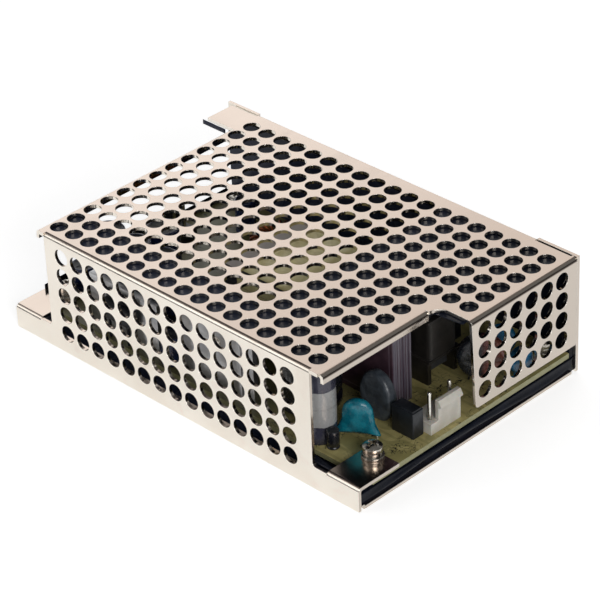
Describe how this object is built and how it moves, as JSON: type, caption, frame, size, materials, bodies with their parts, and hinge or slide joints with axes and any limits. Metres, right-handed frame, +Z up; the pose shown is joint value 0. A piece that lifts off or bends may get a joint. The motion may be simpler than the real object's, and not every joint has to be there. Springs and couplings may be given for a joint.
{
  "type": "open frame power supply",
  "caption": "Board mounted mains power supply in a folded sheet case with a perforated cover, open at both ends for its input and output headers.",
  "frame": {"origin": "centre of the bounding box, on the floor that the base tray rests on", "axes": "+X along the case towards the open mouth with the input header, -Y the perforated long wall, +Z up through the perforated top"},
  "size_m": [0.1366, 0.0906, 0.0376],
  "materials": {
    "plated_sheet": "satin plated sheet, folded, warm grey",
    "base_sheet": "satin plated sheet, folded, warm grey",
    "black_film": "black insulating film, glossy",
    "plated_turned": "plated turned steel",
    "circuit_board": "olive glass laminate under clear resist",
    "screw_steel": "bright plated screws",
    "washer_steel": "plated washers",
    "white_nylon": "off-white moulding",
    "tinned_pins": "tinned, bright",
    "black_moulding": "black moulding, fine texture",
    "grey_sleeve": "dark grey shrink sleeve with a pale blank band",
    "teal_coating": "teal dipped coating",
    "slate_coating": "dark slate dipped coating",
    "plum_box": "dark plum potted box",
    "navy_sleeve": "dark blue shrink sleeve",
    "blue_coating": "blue dipped coating",
    "brown_coating": "red-brown dipped coating",
    "ferrite": "dark grey ferrite",
    "copper_winding": "enamelled copper wire",
    "black_sleeve": "black shrink sleeve",
    "bare_aluminium": "bare punched sheet",
    "bobbin_moulding": "black phenolic moulding",
    "yellow_tape": "yellow polyester tape",
    "coated_core": "yellow coated powder core",
    "white_moulding": "white moulding with tinned legs",
    "tan_coating": "tan coating with blank bands"
  },
  "bodies": {
    "root": {"cover": "plated_sheet", "base_tray": "base_sheet", "insulating_sheet": "black_film", "standoffs": "plated_turned", "board": "circuit_board", "board_screws": "screw_steel", "spring_washers": "washer_steel", "flat_washers": "washer_steel", "side_screws": "screw_steel", "input_header": "white_nylon", "input_pins": "tinned_pins", "fuse_block": "black_moulding", "sleeved_fuse": "grey_sleeve", "varistor": "teal_coating", "thermistor": "slate_coating", "film_capacitor": "plum_box", "small_capacitors": "navy_sleeve", "y_capacitors": "blue_coating", "brown_disc": "brown_coating", "choke_core": "ferrite", "choke_windings": "copper_winding", "bridge_rectifier": "black_moulding", "bulk_capacitor": "black_sleeve", "primary_heatsink": "bare_aluminium", "secondary_heatsink": "bare_aluminium", "power_transistor": "black_moulding", "rectifier_diode": "black_moulding", "device_screws": "screw_steel", "transformer_core": "ferrite", "transformer_bobbin": "bobbin_moulding", "transformer_winding": "yellow_tape", "inductor_core": "coated_core", "inductor_winding": "copper_winding", "output_capacitors": "navy_sleeve", "optocouplers": "white_moulding", "control_circuit": "black_moulding", "output_header": "white_nylon", "output_pins": "tinned_pins", "resistors": "tan_coating"}
  },
  "joints": []
}
